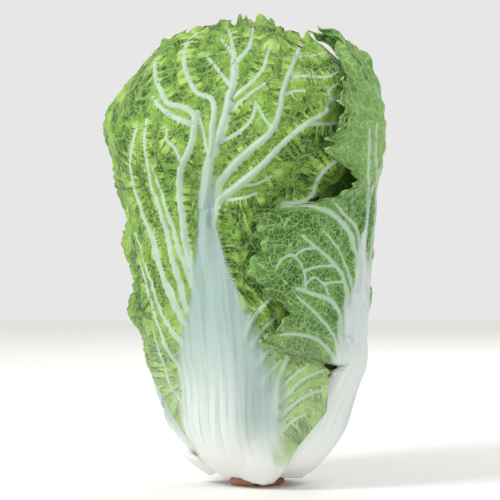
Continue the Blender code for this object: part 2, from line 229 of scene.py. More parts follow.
# everything about one leaf that depends on where on the head a point is
class LeafShape:
    def __init__(self, leaf):
        self.leaf = leaf
        self.seed, self.tip, self.frill = leaf["seed"], leaf["tip"], leaf["frill"]
        self.middle, self.left, self.right = linesOf(leaf)
        self.frilled = float(self.frill > 0)

    def midLine(self, rise):
        return curveThrough(rise, [p[0] for p in self.middle], [p[1] for p in self.middle])

    def edge(self, rise, side, fine=0):
        seed = self.seed
        (short, shortLength), (long, longLength) = lay["sideWaves"]
        wave = short * np.sin(rise / shortLength + 2.1 * seed)
        wave = wave + long * np.sin(rise / longLength + seed + side)
        wave = wave + fine * 1.4 * np.sin(rise / 2.1 + 3 * np.sin(rise / 9.0 + seed) + side)
        wave = wave + fine * 0.9 * np.sin(rise / 1.1 + 2 * np.sin(rise / 5.0 + 2 * seed))
        wave = wave * ease(rise, 60, 120) * ease(self.frill, 0, 4)
        return np.where(side > 0, cornered(rise, self.right), cornered(rise, self.left)) + side * wave

    def top(self, across, fine=0):
        seed = self.seed
        (broad, few), (narrow, many) = lay["tipWaves"]
        roundOff = lay["cornerDrop"] * np.abs(across) ** 2.6 + broad * np.sin(few * across + seed)
        roundOff = roundOff + narrow * np.sin(many * across + 2 * seed)
        roundOff = roundOff + fine * 2.8 * np.sin(37 * across + 3 * np.sin(9 * across) + seed)
        roundOff = roundOff + fine * 2.0 * np.sin(83 * across + 4 * np.sin(17 * across + seed))
        rounding = self.leaf.get("rounding", 0) * across**2
        return self.tip - roundOff * ease(self.frill, 0, 3) - rounding

    def toTurn(self, across, rise, fine=0):
        side = np.where(across < 0, -1, 1)
        line = self.midLine(rise)
        return line + (self.edge(rise, side, fine) - line) * np.abs(across) ** lay["crowding"]

    def toAcross(self, turn, rise):
        line = self.midLine(rise)
        off = wrapped(turn - line)
        side = np.where(off < 0, -1, 1)
        share = np.abs(off) / np.maximum(np.abs(self.edge(rise, side) - line), 1)
        return side * share ** (1 / lay["crowding"]), off

    def ribHalf(self, rise):
        share, low, high = lay["ribTaper"]
        return self.leaf["rib"][0] * (1 - share * ease(rise, low, high)) + lay["ribLeast"]

    def thickness(self, across, off, rise):
        share, low, high = lay["ribThinning"]
        rib = (self.leaf["rib"][1] - lay["blade"]) * (1 - share * ease(rise, low, high))
        bulge = np.clip(1 - (off / (self.ribHalf(rise) + 3.5)) ** 2, 0, 1) ** 0.8
        fan = np.cos(np.pi * across * self.leaf["fan"] / 4) ** 2
        fan = fan * ease(rise, 50, 130) * (1 - ease(np.abs(across), 0.75, 1))
        fan = fan * ease(np.abs(self.edge(rise, np.sign(across)) - self.midLine(rise)), 20, 50)
        ridge = lay["ridgeShare"] * self.frill * (lay["calmRidges"] if "middle" in self.leaf else 1)
        return lay["blade"] + rib * bulge + lay["footThick"] * (1 - ease(rise, 20, 120)) + ridge * fan

    def lift(self, across, rise, off):
        seed, tip = self.seed, self.tip
        nearEdge = ease(np.abs(across), 0.62, 1.0)
        nearTip = ease(rise, tip - 60, tip)
        fold = (0.5 + 0.5 * np.cos(np.radians(off) * 9 + seed)) * ease(rise, *lay["foldFrom"])
        along = 0.5 + 0.5 * np.sin(rise / 6.8 + 1.7 * seed + 2.0 * across)
        roundTip = 0.5 + 0.5 * np.sin(np.radians(off) * 13 + 0.9 * seed)
        frill = self.frill * ease(rise, *lay["frillFrom"])
        lifted = frill * (nearEdge * along + 0.9 * nearTip * roundTip)
        lifted = lifted + 0.5 * self.frill * fold * (1 - nearEdge)
        if "curl" in self.leaf:
            side, height, low, high = self.leaf["curl"]
            turned = ease(rise, low, low + 20) * (1 - ease(rise, high, high + 20))
            lifted = lifted + height * turned * ease(side * across, 0.72, 1)
        return lifted

    def inside(self):
        across, _ = self.toAcross(mapTurn, mapRise)
        return (np.abs(across) <= 1) & (mapRise >= self.leaf["foot"] - 2) & (mapRise <= self.top(across) + 2)

    def laid(self, field, cover, below=head["crown"]):
        across, off = self.toAcross(mapTurn, mapRise)
        out = field + self.lift(across, mapRise, off) + self.thickness(across, off, mapRise)
        return np.where(self.inside() & (mapRise < below), np.maximum(cover, out), cover)


# The photograph's view: where the camera stands and how large a millimetre is in its picture.
view = {"distance": 1.3, "side": -0.0048, "height": 0.1590, "metresPerPixel": 0.000681, "frame": 500,
        "sensor": 36}


# where a point in space falls in the photograph's frame, in its pixels, with a depth of 0
def toPicture(points):
    scale = view["distance"] / (view["distance"] + points[:, 1]) / view["metresPerPixel"]
    x = view["frame"] / 2 + (points[:, 0] - view["side"]) * scale
    y = view["frame"] / 2 - (points[:, 2] - view["height"]) * scale
    return np.stack([x, y, np.zeros(len(x))], axis=-1)


# How veins are laid. pixelStep, growStep: steps along them, in the photograph's pixels and in millimetres;
# pixelRun: a pixel step's length; missed: pixels that a point may fall off the leaf; seenDepth, seen: depth
# in metres and the pixels that bound what the photograph shows; far: the distance of a point near no vein;
# runGap, growRuns: keep the places along different veins apart.
veinLay = {"pixelStep": 0.6, "pixelRun": 0.4, "growStep": 1.3, "missed": 5, "seenDepth": 0.012,
           "seen": (110, 372), "far": 60.0, "runGap": 200, "growRuns": 20000}

# Crumples between the veins and ripples of the edge: sizes and heights in millimetres.
crumple = {
    "cell": 10.5, "cellHeight": 1.5, "hill": 26.0, "hillHeight": 2.2, "edgeHeight": 1.6, "flare": 4.0,
    "bend": 3.0, "bendSize": 22, "wisp": 11, "ripple": (1.9, 1.7), "ribbing": 1.15, "ribbingHeight": 0.35,
    "tipReach": 80, "ribEnd": (190, 235), "from": (40, 110), "edgeThinning": 0.45,
}


# points set closely along a smooth line through a few
def alongLine(points, step):
    points = np.array(points, float)
    length = np.concatenate([[0], np.cumsum(np.hypot(*np.diff(points, axis=0).T))])
    at = np.linspace(0, length[-1], max(3, int(length[-1] / step)))
    placed = [curveThrough(at, length, values) for values in points.T]
    return np.stack(placed, axis=-1), at / length[-1]


def nearestIn(samples, points):
    tree = kdtree.KDTree(len(samples))
    for number, sample in enumerate(samples):
        tree.insert(sample, number)
    tree.balance()
    found = [tree.find(point) for point in points]
    return np.array([f[1] for f in found]), np.array([f[2] for f in found])


# a leaf's own veins where the photograph doesn't show them: side veins that leave the rib and fork
def grownVeins(leaf):
    draw = np.random.default_rng(100 + leaf["seed"])
    veins = []
    tip = leaf["tip"]
    for side in (-1, 1):
        rise = 46.0
        while rise < tip - 45:
            reach = draw.uniform(0.78, 0.94)
            climb = draw.uniform(46, 70) * (0.6 + 0.5 * rise / tip)
            start = 0.02 + 0.16 * (1 - ease(rise, 40, 150))
            line = [(side * (start + (reach - start) * t), rise + climb * t**0.8 * (1 + 0.25 * t))
                    for t in (0, 0.25, 0.5, 0.75, 1)]
            line = [(a, h + draw.uniform(-3, 3)) for a, h in line]
            veins.append((line, draw.uniform(1.3, 1.8), 0.5, 1.5))
            for a, h in line[1:4]:
                for low, high, half, end, *size in ((16, 30, 0.03, 0.10, 0.7, 0.35, 0.8),
                                                    (4, 14, 0.07, 0.15, 0.6, 0.3, 0.7)):
                    up = draw.uniform(low, high)
                    veins.append(([(a, h), (a + side * half, h + up * 0.5), (a + side * end, h + up)], *size))
            rise += draw.uniform(17, 25)
    veins.append(([(0, 40), (0, 120), (0.0, 200), (0, tip - 10)], 3.2, 0.8, 1.2))
    return veins


# what the nearest veins do at each point: the ridge's height in millimetres, the distance over the vein's
# half width, the distance itself and the place along the vein
def veinRelief(points, samples, halfWidths, heights, runs):
    relief = np.zeros(len(points))
    share = np.full(len(points), 6.0)
    far = np.full(len(points), veinLay["far"])
    run = np.zeros(len(points))
    broad = halfWidths >= 1.2
    for chosen in (broad, ~broad):
        if not chosen.any():
            continue
        index, reach = nearestIn(samples[chosen], points)
        reach = reach / mm
        over = reach / halfWidths[chosen][index]
        tall = heights[chosen][index]
        skirt = 0.9 * tall * np.exp(-((reach / 6.5) ** 2))
        tall = tall * ease(halfWidths[chosen][index], 0.5, 1.5)  # the thinnest are raised by the skin's bump
        relief = np.maximum(relief, 1.25 * tall * np.exp(-1.1 * over**2) + skirt)
        share = np.minimum(share, over)
        nearer = reach < far
        far = np.where(nearer, reach, far)
        run = np.where(nearer, runs[chosen][index], run)
    return relief, share, far, run


# 1 where the place along the nearest vein jumps from one point of the grid to the next, and beside it
def tornBetween(run):
    torn = np.zeros(run.shape)
    for axis in (0, 1):
        jump = np.pad(np.abs(np.diff(run, axis=axis)) > 5, [(1, 1) if k == axis else (0, 0) for k in (0, 1)])
        torn = np.maximum(torn, np.maximum(np.delete(jump, 0, axis), np.delete(jump, -1, axis)))
    wide = np.pad(torn, 1)
    beside = [wide[2:, 1:-1], wide[:-2, 1:-1], wide[1:-1, 2:], wide[1:-1, :-2]]
    return np.max([torn, *beside], axis=0)


# heights of the mesh's rows: even, but closer where the outline turns quickly
def leafRows(leaf, count):
    rises = np.linspace(leaf["foot"], leaf["tip"], 2000)
    weight = np.ones(2000)
    for low, high in leaf.get("dense", ()):
        weight = weight + 1.6 * ease(rises, low - 6, low) * (1 - ease(rises, high, high + 6))
    total = np.cumsum(weight)
    return np.interp(np.linspace(total[0], total[-1], count + 1), total, rises)


def meshOf(bm, name):
    mesh = bpy.data.meshes.new(name)
    bm.to_mesh(mesh)
    bm.free()
    return mesh


def spotsOf(mesh):
    spots = np.empty(len(mesh.vertices) * 3, np.float32)
    mesh.vertices.foreach_get("co", spots)
    return spots.reshape(-1, 3).astype(float)


def moveSpots(mesh, placed):
    mesh.vertices.foreach_set("co", placed.astype(np.float32).ravel())
    mesh.update()


# the photograph's veins, looked up on the leaf where its view sees it: places, half widths, heights and runs
def pictureSamples(sheet, outer, pictureVeins):
    seen = np.flatnonzero(outer & (sheet[:, 1] < veinLay["seenDepth"]))
    flat = toPicture(sheet[seen])
    found = []
    for number, (points, first, last, height) in enumerate(pictureVeins):
        line, t = alongLine(np.reshape(points, (-1, 2)), veinLay["pixelStep"])
        run = np.arange(len(t)) * veinLay["pixelRun"] + veinLay["runGap"] * number
        tall = height * (1 - 0.45 * t) * ease(t, -0.02, 0.3)
        found.append((np.pad(line, ((0, 0), (0, 1))), first + (last - first) * t, tall, run))
    wanted, halfWidths, heights, runs = (np.concatenate(each) for each in zip(*found))
    index, far = nearestIn(flat, wanted)
    near = far < veinLay["missed"]
    hit = sheet[seen][index]
    step = (wanted - flat[index]) * (view["metresPerPixel"] * (1 + hit[:, 1:2] / view["distance"]))
    hit = hit + np.stack([step[:, 0], np.zeros(len(step)), -step[:, 1]], axis=-1)
    return hit[near], halfWidths[near], heights[near], runs[near]


# the same for veins that grow on the leaf's own plane; hiddenOnly leaves out what the photograph's view sees
def grownSamples(leaf, shape, restOn, hiddenOnly):
    found = []
    for number, (points, first, last, height) in enumerate(grownVeins(leaf)):
        line, t = alongLine([(a * 90, h) for a, h in points], veinLay["growStep"])
        across, rise = line[:, 0] / 90, np.clip(line[:, 1], leaf["foot"], leaf["tip"])
        turn = shape.toTurn(across, rise)
        off = wrapped(turn - shape.midLine(rise))
        turn = wrapped(turn)
        out = restOn(turn, rise) + shape.lift(across, rise, off) + shape.thickness(across, off, rise)
        spot = place(turn, rise, out)
        keep = np.abs(across) < 0.97
        if hiddenOnly:
            x = toPicture(spot)[:, 0]
            left, right = veinLay["seen"]
            keep = keep & ((spot[:, 1] > veinLay["seenDepth"]) | (x < left) | (x > right))
        run = np.arange(len(t)) * veinLay["growStep"] + veinLay["runGap"] * number + veinLay["growRuns"]
        each = (spot, first + (last - first) * t, height * (1 - 0.5 * t), run)
        found.append([values[keep] for values in each])
    return [np.concatenate(each) for each in zip(*found)]


# a closed blade: a sheet, thickened, laid on the head, with its folds, veins and crumples raised on it
def leafMesh(name, leaf, shape, restOn, exposed, pictureVeins=()):
    columns, rowCount = leaf["grid"]
    tall = leaf["tip"] > 200  # only the stub isn't
    bm = bmesh.new()
    bmesh.ops.create_grid(bm, x_segments=columns, y_segments=rowCount, size=1)
    made = bmesh.ops.extrude_face_region(bm, geom=bm.faces[:], use_keep_orig=True)
    outerVerts = [v for v in made["geom"] if isinstance(v, bmesh.types.BMVert)]
    bmesh.ops.translate(bm, verts=outerVerts, vec=(0, 0, 1))
    bmesh.ops.recalc_face_normals(bm, faces=bm.faces[:])
    mesh = meshOf(bm, name)
    spots = spotsOf(mesh)
    count = len(spots)
    across = spots[:, 0]
    row = (spots[:, 1] + 1) / 2 * rowCount
    rise = np.interp(row, np.arange(rowCount + 1), leafRows(leaf, rowCount))
    bendFrom = leaf["tip"] - crumple["tipReach"] if tall else leaf["foot"]
    share = np.clip((rise - bendFrom) / (leaf["tip"] - bendFrom), 0, 1)
    rise = np.where(share > 0, bendFrom + share * (shape.top(across, shape.frilled) - bendFrom), rise)
    turn = shape.toTurn(across, rise, shape.frilled)
    off = wrapped(turn - shape.midLine(rise))
    turn = wrapped(turn)
    rest = restOn(turn, rise) + shape.lift(across, rise, off)
    thick = shape.thickness(across, off, rise)
    outer = spots[:, 2] > 0.5
    sheet = place(turn, rise, rest + thick)

    # veins: those of the photograph's view, and grown ones where there are none
    found = [pictureSamples(sheet, outer, pictureVeins)] if pictureVeins else []
    if shape.frilled:
        found.append(grownSamples(leaf, shape, restOn, bool(pictureVeins)))
    relief, run, torn = np.zeros(count), np.zeros(count), np.zeros(count)
    veinShare, veinFar = np.full(count, 6.0), np.full(count, veinLay["far"])
    if found:
        order = np.lexsort((np.round(spots[:, 0], 5), np.round(spots[:, 1], 5), outer))
        inner, top = np.split(order, 2)
        samples = [np.concatenate(each) for each in zip(*found)]
        relief[top], shares, fars, runs = veinRelief(sheet[top], *samples)
        jumps = tornBetween(runs.reshape(rowCount + 1, columns + 1)).ravel()
        for values, each in ((veinShare, shares), (veinFar, fars), (run, runs), (torn, jumps)):
            values[top] = each
            values[inner] = each
    vein = 1 - ease(veinShare, 0.6, 1.4)

    # crumples between the veins and waves on the free edges, all outwards
    planeX = np.radians(off) * (skinRadius(rise) + lay["planeOut"])
    planeY = rise
    seed = 7 * leaf["seed"]
    bentX = planeX + crumple["bend"] * hills(planeX, planeY, crumple["bendSize"], seed + 1)
    bentY = planeY + crumple["bend"] * hills(planeX, planeY, crumple["bendSize"], seed + 2)
    wall = cells(bentX, bentY * 0.85, crumple["cell"], seed + 3)
    pillow = ease(wall, 0, 0.75)
    ribWidth = (shape.ribHalf(rise) + 2) * np.where(off > 0, leaf.get("ribFar", 1), 1)
    ribShare = np.abs(off) / ribWidth / (1 - 0.4 * ease(rise, 165, 215))
    ribShare = ribShare + 0.12 * hills(planeX, planeY * 0.25, 9, seed + 5)
    rib = (1 - ease(ribShare, 0.72, 1.12)) * (1 - ease(rise, *crumple["ribEnd"]))
    rib = np.maximum(rib, 1 - ease(rise, 14, 44)) if shape.frilled else np.ones(count)
    bladeShare = (1 - rib) * ease(rise, *crumple["from"]) * shape.frilled
    hill = 0.5 + 0.5 * hills(planeX, planeY, crumple["hill"], seed + 4)
    raised = (1 - 0.75 * vein) * crumple["cellHeight"] * pillow + crumple["hillHeight"] * hill
    raised = raised * bladeShare * (1 - 0.7 * ease(np.abs(across), 0.6, 0.95))
    nearSide = ease(np.abs(across), 0.86, 1) * ease(rise, 70, 120)
    nearTop = ease(share, 0.72, 1) if tall else 0
    margin = np.maximum(nearSide, nearTop) * shape.frilled
    up, around = crumple["ripple"]
    ripple = 0.5 + 0.5 * np.sin(planeY / up * nearSide + planeX / around + 2.5 * np.sin(planeY / 6 + seed))
    raised = raised + crumple["edgeHeight"] * np.where(across < 0, leaf.get("ruffle", 1), 1) * margin * ripple
    wisp = np.clip(2.2 * hills(planeX, planeY * 0.4, crumple["wisp"], seed + 6), 0, 1) ** 2
    raised = raised + crumple["flare"] * wisp * ease(share, 0.84, 1) * tall * shape.frilled
    raised = raised * (0.12 + 0.88 * readMap(exposed, turn, rise))
    ribbing = 0.5 + 0.5 * np.sin(planeX / crumple["ribbing"] + 0.8 * np.sin(planeY / 40 + seed))
    ribbing = crumple["ribbingHeight"] * rib * ribbing * shape.frilled
    thick = thick * (1 - crumple["edgeThinning"] * margin)
    out = rest + raised + spots[:, 2] * (thick + relief + ribbing)
    moveSpots(mesh, place(turn, rise, out))
    facts = {"rib": rib, "veinShare": veinShare, "veinFar": veinFar, "veinRun": run, "torn": torn,
             "wall": wall, "margin": margin, "climb": rise / head["crown"]}
    for key, values in facts.items():
        attribute = mesh.attributes.new(key, "FLOAT", "POINT")
        attribute.data.foreach_set("value", np.asarray(values, np.float32))
    corner = np.empty(len(mesh.loops), np.int32)
    mesh.loops.foreach_get("vertex_index", corner)
    plane = np.stack([planeX[corner], planeY[corner]], axis=-1) * mm
    uv = mesh.uv_layers.new(name="leafPlane")
    uv.data.foreach_set("uv", plane.astype(np.float32).ravel())
    mesh.shade_smooth()
    return mesh


# colour given as sRGB hex, turned to linear
def hexColour(code):
    parts = [int(code[k : k + 2], 16) / 255 for k in (1, 3, 5)]
    linear = [p / 12.92 if p <= 0.04045 else ((p + 0.055) / 1.055) ** 2.4 for p in parts]
    return (*linear, 1)


# adds a node with its settings and inputs; an input is a value or another node, whose first output it takes
def addNode(tree, kind, settings=None, inputs=None):
    node = tree.nodes.new("ShaderNode" + kind)
    for key, value in (settings or {}).items():
        setattr(node, key, value)
    for key, value in (inputs or {}).items():
        if isinstance(value, bpy.types.Node):
            value = next(out for out in value.outputs if out.enabled)
        if isinstance(value, bpy.types.NodeSocket):
            tree.links.new(value, node.inputs[key])
        else:
            node.inputs[key].default_value = value
    return node


def startMaterial(name, tints):
    material = bpy.data.materials.new(name)
    material.use_nodes = True
    material.node_tree.nodes.clear()
    return material, material.node_tree, {key: hexColour(code) for key, code in tints.items()}


# Living leaf: a waxy skin over wet green tissue, so a soft sheen and light that glows in thin blades,
# and white, smoother, ribbed stalks. Colours differ with how much sun each leaf had.
# Grain sizes are in millimetres, but netWidth is a share of a cell.
# deep is the painted shade in the creases and between the veins; light is the painted highlight on the
# crumples' tops, and also the lighter edge and top.
leafTints = {
    "front": {"light": "#A8CA64", "mid": "#6E9B34", "deep": "#285410", "vein": "#B0C6B0", "net": "#A6C672"},
    "right": {"light": "#92BC66", "mid": "#62963F", "deep": "#336621", "vein": "#AEC6AE", "net": "#A0C47C",
              "pale": "#D0DAD6", "grooveAndShade": "#AFC0BA"},
    "outer": {"light": "#A8C866", "mid": "#73A03A", "deep": "#38691A", "vein": "#BACBAE", "net": "#AAC878"},
    "inner": {"light": "#CFE094", "mid": "#A9C762", "deep": "#74993C", "vein": "#E2EBD0", "net": "#CBDC9C"},
    "heart": {"light": "#E6E8A4", "mid": "#D3DC84", "deep": "#A9BE5A", "vein": "#F0F2DC", "net": "#E4E8B4"},
}
# How much painted shade and highlight each skin's wrinkles give its colour, how much it shows of its net of
# veins, how high its wrinkles are, in millimetres, and how much lighter its top is.
leafRelief = {
    "front": {"wrinkled": 0.72, "netShown": 0.50, "wrinkleHeight": 2.4, "topLight": 0.0},
    "right": {"wrinkled": 0.22, "netShown": 0.85, "wrinkleHeight": 0.6, "topLight": 0.5},
    "outer": {"wrinkled": 0.5, "netShown": 0.45, "wrinkleHeight": 1.4, "topLight": 0.0},
    "inner": {"wrinkled": 0.4, "netShown": 0.4, "wrinkleHeight": 1.2, "topLight": 0.0},
    "heart": {"wrinkled": 0.3, "netShown": 0.3, "wrinkleHeight": 1.0, "topLight": 0.0},
}
# two of the stalk's colours, for its middle and its side, also carry painted shade
stalkTints = {"white": "#DEE5E2", "pale": "#9FB6AE", "grooveAndShade": "#7D9A93", "foot": "#ECEDE9", "low": "#BCD2A6"}
# the last size, in millimetres, is how wide the painted shade on the stalk's right side grows
leafGrain = {"net": 3.6, "netWidth": 0.08, "wobble": 6, "bent": 2.4, "skin": 0.7, "patch": 30.0,
             "stripe": (3.2, 90.0), "wrinkle": (2.4, 16.0), "stalkShadedSide": 24}


def leafMaterial(name, tints, relief):
    material, tree, tint = startMaterial(name, {**stalkTints, **tints})
    plane = addNode(tree, "UVMap", {"uv_map": "leafPlane"})
    sideways = addNode(tree, "SeparateXYZ", inputs={"Vector": plane})
    where = addNode(tree, "TexCoord").outputs["Object"]
    fact = {}
    for key in ("rib", "veinShare", "veinFar", "veinRun", "torn", "wall", "margin", "climb"):
        fact[key] = addNode(tree, "Attribute", {"attribute_name": key}).outputs["Fac"]

    # the fine net of veins, bent a little, then patches, the skin's grain and the stalk's stripes
    wobble = addNode(tree, "TexNoise", inputs={
        "Vector": plane, "Scale": 1 / (leafGrain["wobble"] * mm), "Detail": 2.0})
    bend = leafGrain["bent"] * mm
    bent = addNode(tree, "VectorMath", {"operation": "MULTIPLY_ADD"},
                   {0: wobble.outputs["Color"], 1: (bend, bend, 0), 2: plane})
    net = addNode(tree, "TexVoronoi", {"feature": "DISTANCE_TO_EDGE"},
                  {"Vector": bent, "Scale": 1 / (leafGrain["net"] * mm)})
    patch = addNode(tree, "TexNoise", inputs={
        "Vector": where, "Scale": 1 / (leafGrain["patch"] * mm), "Detail": 2.0, "Roughness": 0.5})
    patchy = addNode(tree, "MapRange", inputs={
        "Value": patch, "From Min": 0.3, "From Max": 0.7, "To Min": -0.08, "To Max": 0.30})
    grain = addNode(tree, "TexNoise", inputs={
        "Vector": where, "Scale": 1 / (leafGrain["skin"] * mm), "Detail": 3.0})
    stripeWide, stripeLong = leafGrain["stripe"]
    along = addNode(tree, "Mapping", {"vector_type": "TEXTURE"},
                    {"Vector": plane, "Scale": (stripeWide * mm, stripeLong * mm, 1.0)})
    stripe = addNode(tree, "TexNoise", inputs={"Vector": along, "Scale": 1.0, "Detail": 3.0})

    # wrinkles that run out from each vein, across it: a noise in the vein's own length and distance
    wide, long = [addNode(tree, "Math", {"operation": "DIVIDE"}, {0: fact[key], 1: size})
                  for key, size in zip(("veinRun", "veinFar"), leafGrain["wrinkle"])]
    acrossVein = addNode(tree, "CombineXYZ", inputs={"X": wide, "Y": long})
    wrinkle = addNode(tree, "TexNoise", inputs={
        "Vector": acrossVein, "Scale": 1.0, "Detail": 1.5, "Roughness": 0.45, "Distortion": 0.2})

    # smooth ramps: what each reads, where it starts and ends, and what it gives there
    ramp = {}
    for key, value, start, end, first, last in (
        ("net", net, 0.0, leafGrain["netWidth"], relief["netShown"], 0.0),
        ("netEdge", net, 0.0, 0.16, 1.0, 0.0),
        ("wrinkle", wrinkle, 0.36, 0.62, 0.0, 1.0),
        # painted shade at the cells' walls, the crumples' creases, and painted highlight in their middles
        ("pillow", fact["wall"], 0.0, 0.5, 0.0, 0.24),
        ("wall", fact["wall"], 0.03, 0.14, 0.45, 0.0),
        # painted highlight near the veins and painted shade in the valleys between them
        ("valleyShade", fact["veinFar"], 1.5, 8.0, 0.12, -0.24),
        ("vein", fact["veinShare"], 0.7, 1.5, 1.0, 0.0),
        ("low", fact["climb"], 0.16, 0.37, 0.6, 0.0),
        ("top", fact["climb"], 0.5, 0.62, 0.0, relief["topLight"]),
        # painted shade on the stalk's right side, away from the light
        ("stalkShadedSide", sideways.outputs["X"], 0.0, leafGrain["stalkShadedSide"] * mm, 0.0, 0.65),
        # greener and darker as the stalk climbs: partly its own tinge, partly painted shade
        ("stalkClimbTintAndShade", fact["climb"], 0.10, 0.36, 0.0, 1.0),
        ("stripe", stripe, 0.48, 0.72, 0.0, 0.5),
        ("stalkFoot", fact["climb"], 0.06, 0.17, 0.9, 0.0),
    ):
        ramp[key] = addNode(tree, "MapRange", {"interpolation_type": "SMOOTHSTEP"}, {
            "Value": value, "From Min": start, "From Max": end, "To Min": first, "To Max": last})

    # blade: painted shade makes it deep green in the wrinkles' and crumples' creases and in the valleys
    # between the veins, and painted highlight makes it lighter on their tops and beside the veins; it is also
    # lighter at the edge and in random patches
    wrinkled = addNode(tree, "Mix", {"data_type": "FLOAT"},
                       {0: fact["torn"], 2: ramp["wrinkle"], 3: 0.5})
    light = addNode(tree, "Math", {"operation": "MULTIPLY_ADD"},
                    {0: wrinkled, 1: relief["wrinkled"], 2: ramp["pillow"]})
    for more in (ramp["valleyShade"], patchy):
        light = addNode(tree, "Math", {"operation": "ADD"}, {0: light, 1: more})
    for key, start, end in (("mid", 0.08, 0.62), ("light", 0.52, 1.15)):
        ramp[key] = addNode(tree, "MapRange", {"interpolation_type": "SMOOTHSTEP"},
                            {"Value": light, "From Min": start, "From Max": end})
    ramp["edge"] = addNode(tree, "Math", {"operation": "MULTIPLY"}, {0: fact["margin"], 1: 0.35})
    blade, stalk = tint["deep"], tint["white"]
    for key, over in (("mid", "mid"), ("light", "light"), ("edge", "light"), ("top", "light"), ("low", "low"),
                      ("net", "net"), ("wall", "net"), ("vein", "vein")):
        blade = addNode(tree, "Mix", {"data_type": "RGBA"}, {0: ramp[key], 6: blade, 7: tint[over]})

    # stalk: white at the foot, greener and darker as it climbs, partly its own tinge and partly painted
    # shade, with painted shade on its right side and bluish grooves along it
    for key, over in (("stalkShadedSide", "grooveAndShade"), ("stalkClimbTintAndShade", "pale"), ("stripe", "grooveAndShade"),
                      ("stalkFoot", "foot")):
        stalk = addNode(tree, "Mix", {"data_type": "RGBA"}, {0: ramp[key], 6: stalk, 7: tint[over]})
    colour = addNode(tree, "Mix", {"data_type": "RGBA"}, {0: fact["rib"], 6: blade, 7: stalk})

    # relief too fine for the mesh, each on the last: strength, depth in millimetres, height, where it shows
    notRib = addNode(tree, "Math", {"operation": "SUBTRACT"}, {0: 1.0, 1: fact["rib"]})
    notVein = addNode(tree, "Math", {"operation": "SUBTRACT", "use_clamp": True},
                      {0: notRib, 1: ramp["vein"]})
    normal = {}
    for strength, depth, height, share in (
        (0.9, relief["wrinkleHeight"], wrinkled, notVein),
        (0.8, 0.7, ramp["vein"], notRib),
        (0.5, 0.5, ramp["netEdge"], notVein),
        (0.4, 0.6, stripe, fact["rib"]),
        (0.12, 0.15, grain, 1.0),
    ):
        masked = addNode(tree, "Math", {"operation": "MULTIPLY"}, {0: height, 1: share})
        normal["Normal"] = addNode(tree, "Bump", inputs={
            "Strength": strength, "Distance": depth * mm, "Height": masked, **normal})
    rough = addNode(tree, "MapRange", inputs={
        "Value": fact["rib"], "From Min": 0.0, "From Max": 1.0, "To Min": 0.58, "To Max": 0.40})
    shader = addNode(tree, "BsdfPrincipled", {"subsurface_method": "RANDOM_WALK"}, {
        "Base Color": colour, "Roughness": rough, "IOR": 1.42, "Metallic": 0.0, **normal,
        "Subsurface Weight": 0.18, "Subsurface Radius": (0.6, 1.0, 0.25), "Subsurface Scale": 1.6 * mm})
    addNode(tree, "OutputMaterial", inputs={"Surface": shader})
    return material


leafSkins = {key: leafMaterial(key + "LeafSkin", tints, leafRelief[key]) for key, tints in leafTints.items()}
print("stage: leaf skins ready")

# Cut stem: wet white pith that has dried to tan, browned where air reached it, so it is matt and fibrous.
stemTints = {"pith": "#C79A78", "dry": "#9A4E36", "brown": "#6B2A20", "fibre": "#DDBFA0"}
stemGrain = {"blotch": 5.5, "fibre": 1.1}


def stemMaterial(name):
    material, tree, tint = startMaterial(name, stemTints)
    where = addNode(tree, "TexCoord").outputs["Object"]
    blotch = addNode(tree, "TexNoise", inputs={
        "Vector": where, "Scale": 1 / (stemGrain["blotch"] * mm), "Detail": 4.0, "Roughness": 0.65})
    fibre = addNode(tree, "TexNoise", inputs={
        "Vector": where, "Scale": 1 / (stemGrain["fibre"] * mm), "Detail": 2.0})
    colour = tint["pith"]
    for value, low, high, top, over in (
        (blotch, 0.42, 0.58, 0.85, "dry"),
        (blotch, 0.56, 0.7, 0.9, "brown"),
        (fibre, 0.55, 0.75, 0.5, "fibre"),
    ):
        share = addNode(tree, "MapRange", {"interpolation_type": "SMOOTHSTEP"},
                        {"Value": value, "From Min": low, "From Max": high, "To Min": 0.0, "To Max": top})
        colour = addNode(tree, "Mix", {"data_type": "RGBA"}, {0: share, 6: colour, 7: tint[over]})
    bump = addNode(tree, "Bump", inputs={"Strength": 0.5, "Distance": 0.5 * mm, "Height": fibre})
    shader = addNode(tree, "BsdfPrincipled", inputs={
        "Base Color": colour, "Roughness": 0.7, "IOR": 1.4, "Metallic": 0.0, "Normal": bump})
    addNode(tree, "OutputMaterial", inputs={"Surface": shader})
    return material


stemSkin = stemMaterial("driedCutStem")


def addPiece(mesh, skin, node):
    mesh.materials.clear()
    mesh.materials.append(skin)
    piece = bpy.data.objects.new("fine_" + node, mesh)
    bpy.context.scene.collection.objects.link(piece)
    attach(piece, "root")
    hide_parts(node)


# 1 where nothing lies on the leaf, 0 where what lies on it hides it
def openBut(hidden):
    return spreadOver(1.0 - hidden, lay["hideReach"], mean)


def fieldReader(field):
    return lambda turn, rise: readMap(field, turn, rise)


def addLeaf(leaf, restOn, exposed, skin, pictureVeins=()):
    name = leaf["name"]
    mesh = leafMesh("fine_" + name, leaf, shapes[name], restOn, exposed, pictureVeins)
    addPiece(mesh, leafSkins[skin], name)


# The stem's stump: its outline spun round, flat below.
stump = {"faceRadius": 17.5, "widest": 19, "top": 15.5, "sides": 96}


